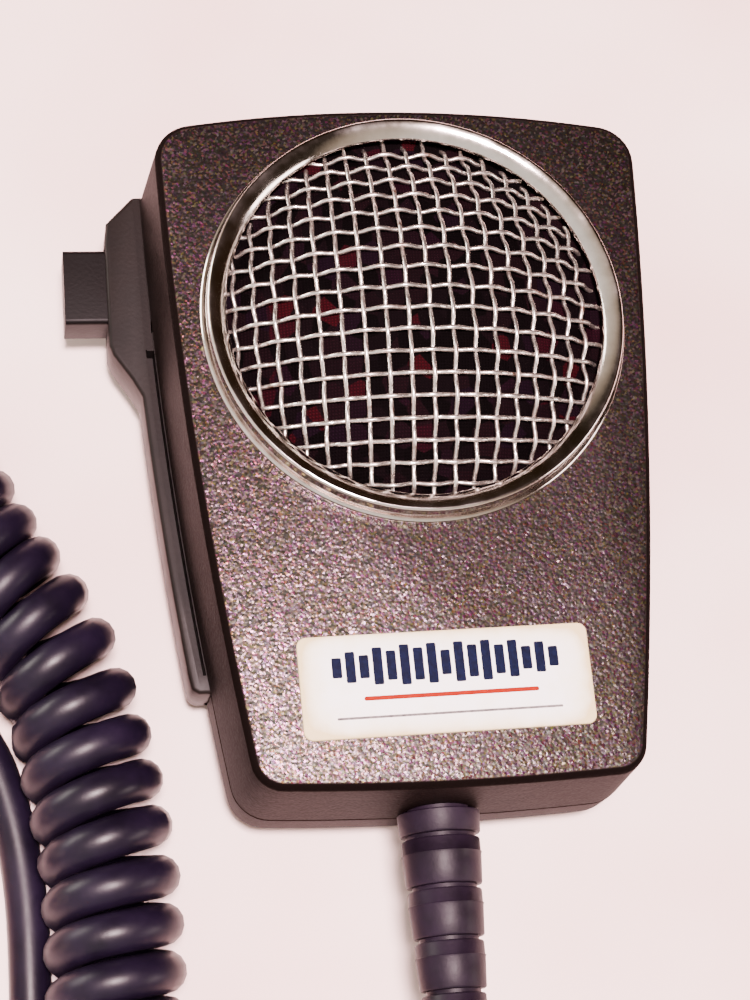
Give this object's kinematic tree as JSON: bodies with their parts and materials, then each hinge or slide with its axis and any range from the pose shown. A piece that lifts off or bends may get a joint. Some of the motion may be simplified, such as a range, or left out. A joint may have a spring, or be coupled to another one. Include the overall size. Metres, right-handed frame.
{
  "type": "hand microphone",
  "caption": "Hand microphone with a domed wire grille, side push-to-talk button, gain wheel, hanger stud and a curly cord that ends in a screw-on plug.",
  "frame": {"origin": "on the surface that the microphone lies on, under the middle of the microphone without its cord", "axes": "+Z out of the grille, +Y towards the top of the microphone, +X towards the side opposite the push-to-talk button"},
  "size_m": [0.1508, 0.1638, 0.0385],
  "materials": {
    "case_paint": "pebbled metallic paint on zinc die casting",
    "grille_chrome": "polished chrome plate",
    "plug_nickel": "bright nickel plate",
    "screen_cloth": "thin dark acoustic cloth",
    "plate_enamel": "cream gloss enamel, yellowed at its edge",
    "switch_plastic": "smooth moulded, slightly worn",
    "part_black": "moulded epoxy",
    "soft_rubber": "smooth, slightly dusty",
    "cord_jacket": "satin cord jacket",
    "board_laminate": "resin laminate",
    "brown_plastic": "moulded phenolic",
    "battery_sleeve": "shrink sleeve",
    "wire_jacket": "wire insulation",
    "contact_brass": "stamped",
    "plated_steel": "zinc plated"
  },
  "bodies": {
    "case": {"front_shell": "case_paint", "rear_shell": "case_paint", "grille_ring": "grille_chrome", "grille_mesh": "grille_chrome", "dust_screen": "screen_cloth", "name_plate": "plate_enamel", "switch_bezel": "switch_plastic", "ptt_spring": "plated_steel", "switch_body": "brown_plastic", "switch_terminal_1": "contact_brass", "switch_terminal_2": "contact_brass", "switch_terminal_3": "contact_brass", "cartridge_cradle": "soft_rubber", "cartridge_can": "plated_steel", "cartridge_face": "contact_brass", "cartridge_contact_1": "contact_brass", "cartridge_contact_2": "contact_brass", "circuit_board": "board_laminate", "board_screw_1": "plated_steel", "board_screw_2": "plated_steel", "electrolytic_capacitor_1": "battery_sleeve", "electrolytic_capacitor_2": "battery_sleeve", "transistor_1": "part_black", "transistor_2": "part_black", "disc_capacitor": "wire_jacket", "resistor_1": "brown_plastic", "resistor_2": "brown_plastic", "resistor_3": "brown_plastic", "gain_control": "plated_steel", "battery": "battery_sleeve", "battery_contact_1": "contact_brass", "battery_contact_2": "contact_brass", "battery_cover": "case_paint", "cover_screw_1": "plated_steel", "cover_screw_2": "plated_steel", "hanger_stud": "plated_steel", "hanger_screw": "plated_steel", "case_screw_1": "plated_steel", "case_screw_2": "plated_steel", "case_screw_3": "plated_steel", "case_screw_4": "plated_steel", "strain_relief": "soft_rubber", "cable_stub": "cord_jacket", "cord_clamp": "plated_steel", "conductor_1": "wire_jacket", "conductor_2": "wire_jacket", "conductor_3": "wire_jacket", "cord_lead": "cord_jacket", "cord_coil": "cord_jacket", "cord_tail": "cord_jacket", "plug_shell": "plug_nickel", "plug_insert": "brown_plastic", "plug_clamp_screw_1": "plated_steel", "plug_clamp_screw_2": "plated_steel"},
    "button": {"ptt_button": "switch_plastic", "ptt_plunger": "plated_steel"},
    "gain": {"gain_wheel": "switch_plastic"},
    "coupling_ring": {"plug_ring": "plug_nickel"}
  },
  "joints": [
    {"name": "ptt_press", "type": "slide", "parent": "case", "child": "button", "axis": [1, 0, 0], "range_m": [0, 0.0026], "stiffness_N_per_m": 600, "springref_m": -0.0012, "deforming": ["ptt_spring"]},
    {"name": "gain_turn", "type": "hinge", "parent": "case", "child": "gain", "pos_m": [0.01749, -0.0081, 0.0132], "axis": [1, 0, 0], "range_deg": [0, 270]},
    {"name": "plug_ring_turn", "type": "hinge", "parent": "case", "child": "coupling_ring", "pos_m": [-0.07621, -0.0577, 0.0096], "axis": [0, -1, 0], "continuous": true}
  ]
}
